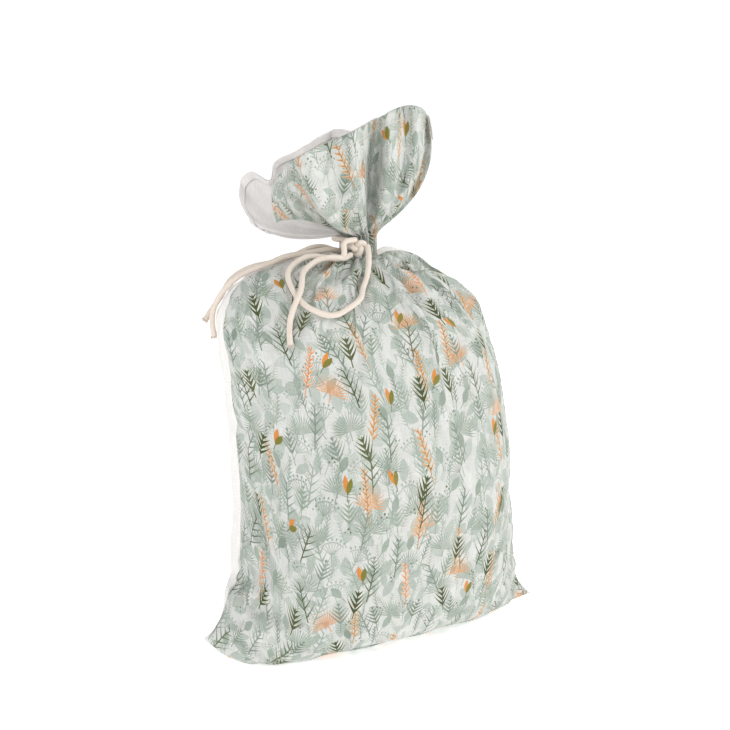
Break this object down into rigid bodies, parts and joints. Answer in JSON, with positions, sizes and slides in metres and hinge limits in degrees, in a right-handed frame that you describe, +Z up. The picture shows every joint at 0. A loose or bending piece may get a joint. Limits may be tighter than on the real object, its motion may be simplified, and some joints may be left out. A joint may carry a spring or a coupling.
{
  "type": "drawstring gift pouch",
  "caption": "Filled cloth drawstring gift pouch standing upright, printed front and plain back, neck drawn closed under an open ruffle and tied with a cord bow.",
  "frame": {"origin": "centre of the base on the surface the pouch stands on", "axes": "+Z up, the printed front faces -Y, +X to the right when facing the front"},
  "size_m": [0.2905, 0.1366, 0.3892],
  "materials": {
    "print_cotton": "matte",
    "plain_cotton": "matte",
    "thread": "matte",
    "cord": "matte",
    "wadding": "matte"
  },
  "bodies": {
    "sack": {"front_panel": "print_cotton", "back_panel": "plain_cotton", "left_side_seam": "plain_cotton", "right_side_seam": "plain_cotton", "bottom_seam": "plain_cotton", "stuffing": "wadding", "front_casing": "print_cotton", "back_casing": "plain_cotton", "front_casing_stitching": "thread", "back_casing_stitching": "thread", "side_cord_in_casing": "cord", "bow_cord_in_casing": "cord", "bow_knot": "cord"},
    "front_flap": {"front_ruffle": "print_cotton", "front_hem": "print_cotton", "front_hem_stitching": "thread"},
    "back_flap": {"back_ruffle": "plain_cotton", "back_hem": "plain_cotton", "back_hem_stitching": "thread"},
    "bow_loop": {"bow_loop": "cord"},
    "bow_tail": {"bow_tail": "cord"},
    "front_side_strand": {"front_side_strand": "cord"},
    "rear_side_strand": {"rear_side_strand": "cord"}
  },
  "joints": [
    {"name": "front_flap_fold", "type": "hinge", "parent": "sack", "child": "front_flap", "pos_m": [-0.02, -0.012, 0.302], "axis": [1, 0, 0], "range_deg": [0, 35]},
    {"name": "back_flap_fold", "type": "hinge", "parent": "sack", "child": "back_flap", "pos_m": [-0.02, 0.012, 0.302], "axis": [-1, 0, 0], "range_deg": [0, 30]},
    {"name": "bow_loop_swing", "type": "hinge", "parent": "sack", "child": "bow_loop", "pos_m": [-0.031, -0.01905, 0.292], "axis": [-0.866, 0.5, 0], "range_deg": [0, 50]},
    {"name": "bow_tail_swing", "type": "hinge", "parent": "sack", "child": "bow_tail", "pos_m": [-0.031, -0.01905, 0.292], "axis": [-0.866, 0.5, 0], "range_deg": [0, 50]},
    {"name": "front_side_strand_lift", "type": "hinge", "parent": "sack", "child": "front_side_strand", "pos_m": [-0.036, 0, 0.2881], "axis": [0, 1, 0], "range_deg": [0, 15]},
    {"name": "rear_side_strand_lift", "type": "hinge", "parent": "sack", "child": "rear_side_strand", "pos_m": [-0.036, 0, 0.2881], "axis": [0, 1, 0], "range_deg": [0, 15]}
  ],
  "couplings": [
    {"joint": "bow_tail_swing", "follows": "bow_loop_swing", "ratio": 1}
  ]
}
